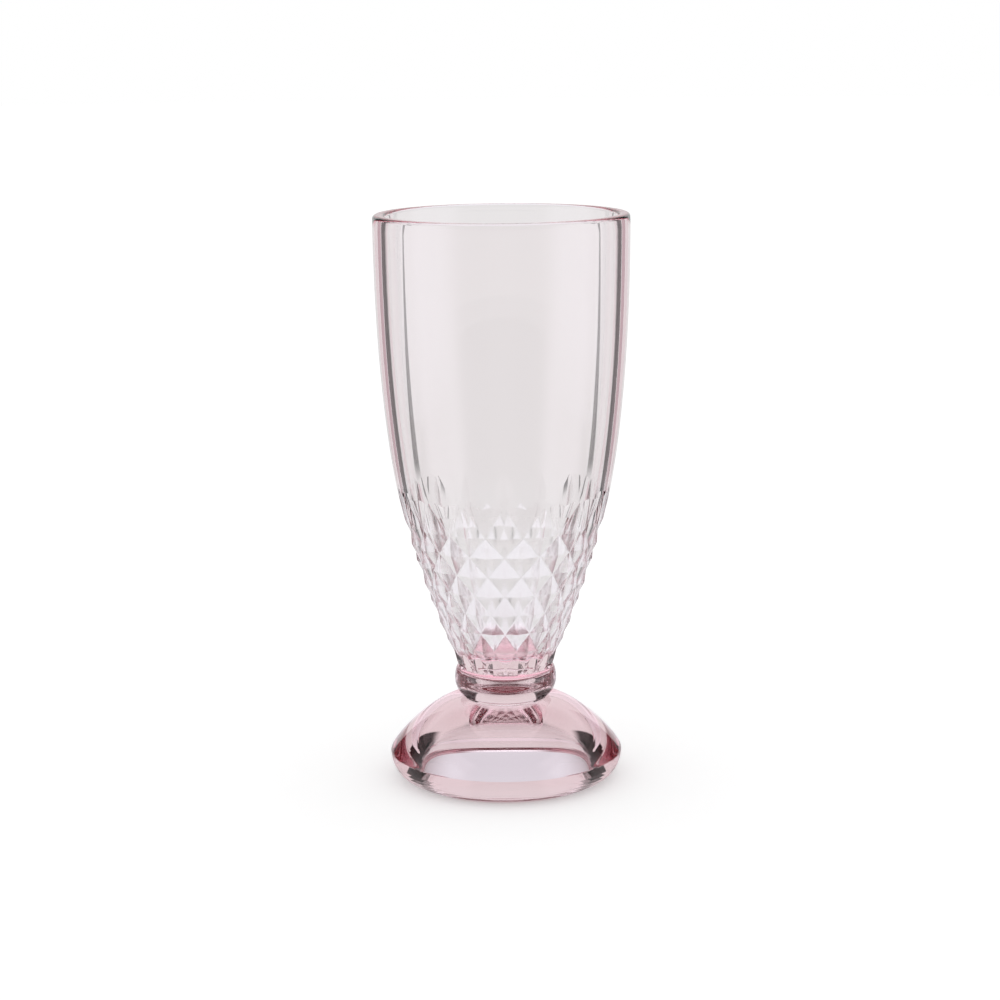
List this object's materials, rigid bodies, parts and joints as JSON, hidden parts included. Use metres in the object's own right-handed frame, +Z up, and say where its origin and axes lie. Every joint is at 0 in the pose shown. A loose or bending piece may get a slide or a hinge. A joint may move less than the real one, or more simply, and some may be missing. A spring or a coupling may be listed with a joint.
{
  "type": "soft drink glass",
  "caption": "Footed drinking glass in pale pink glass: a tall tapering bowl with a band of cut diamonds, a bulging collar and a domed hollow foot.",
  "frame": {"origin": "middle of the ring that the glass stands on, at table height", "axes": "+Z up along the axis of the glass, -Y towards the viewer of the picture"},
  "size_m": [0.0826, 0.0826, 0.186],
  "materials": {
    "pink_glass": "gloss"
  },
  "bodies": {
    "root": {"bowl": "pink_glass", "collar": "pink_glass", "foot": "pink_glass"}
  },
  "joints": []
}
